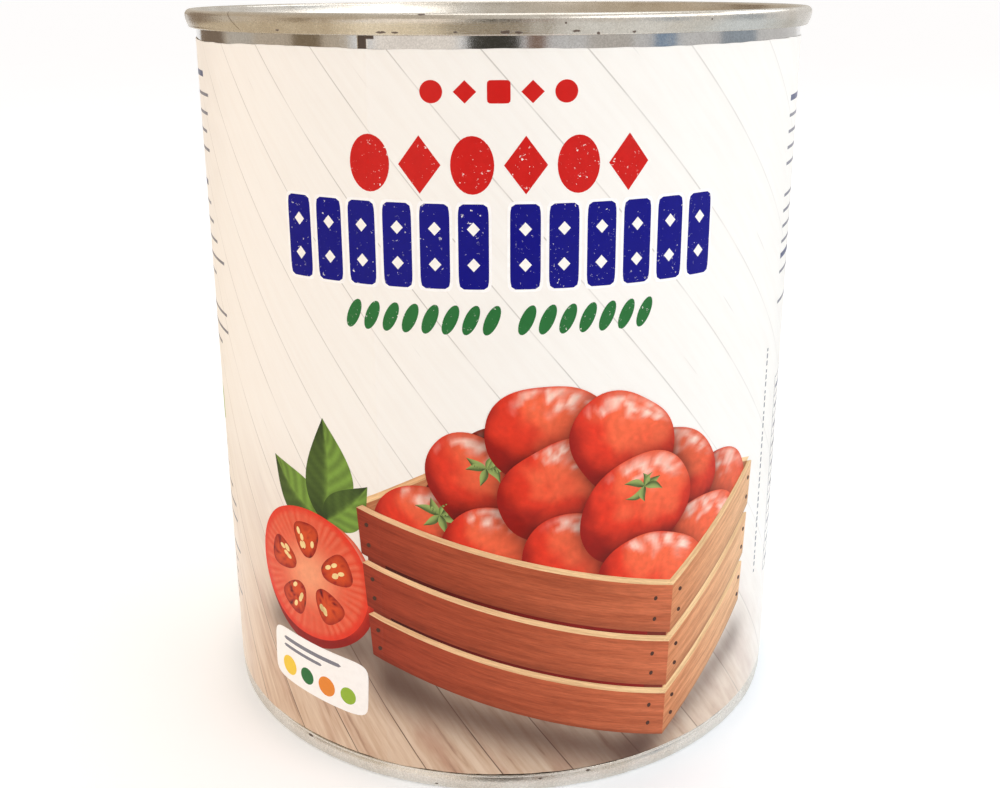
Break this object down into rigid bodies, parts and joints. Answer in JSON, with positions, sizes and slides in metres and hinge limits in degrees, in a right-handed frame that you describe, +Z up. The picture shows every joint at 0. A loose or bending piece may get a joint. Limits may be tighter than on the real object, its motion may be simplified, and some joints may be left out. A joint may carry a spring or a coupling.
{
  "type": "tin of peeled tomatoes",
  "caption": "Closed round food can with seamed ends, a necked-in foot, a side weld and a paper wrap showing red tomatoes on pale planks.",
  "frame": {"origin": "centre of the circle that the can stands on, at the crest of the foot's seam", "axes": "+Z up along the can's axis, -Y towards the front of the wrap, +X to the right as seen from the front"},
  "size_m": [0.1026, 0.1026, 0.118],
  "materials": {
    "body_tinplate": "bright tinplate with a fine vertical grain",
    "end_tinplate": "tinplate with a thin warm lacquer, lightly scratched and dented",
    "wrap_paper": "satin coated paper, printed and lightly worn"
  },
  "bodies": {
    "root": {"can_body": "body_tinplate", "top_end": "end_tinplate", "bottom_end": "end_tinplate", "label": "wrap_paper"}
  },
  "joints": []
}
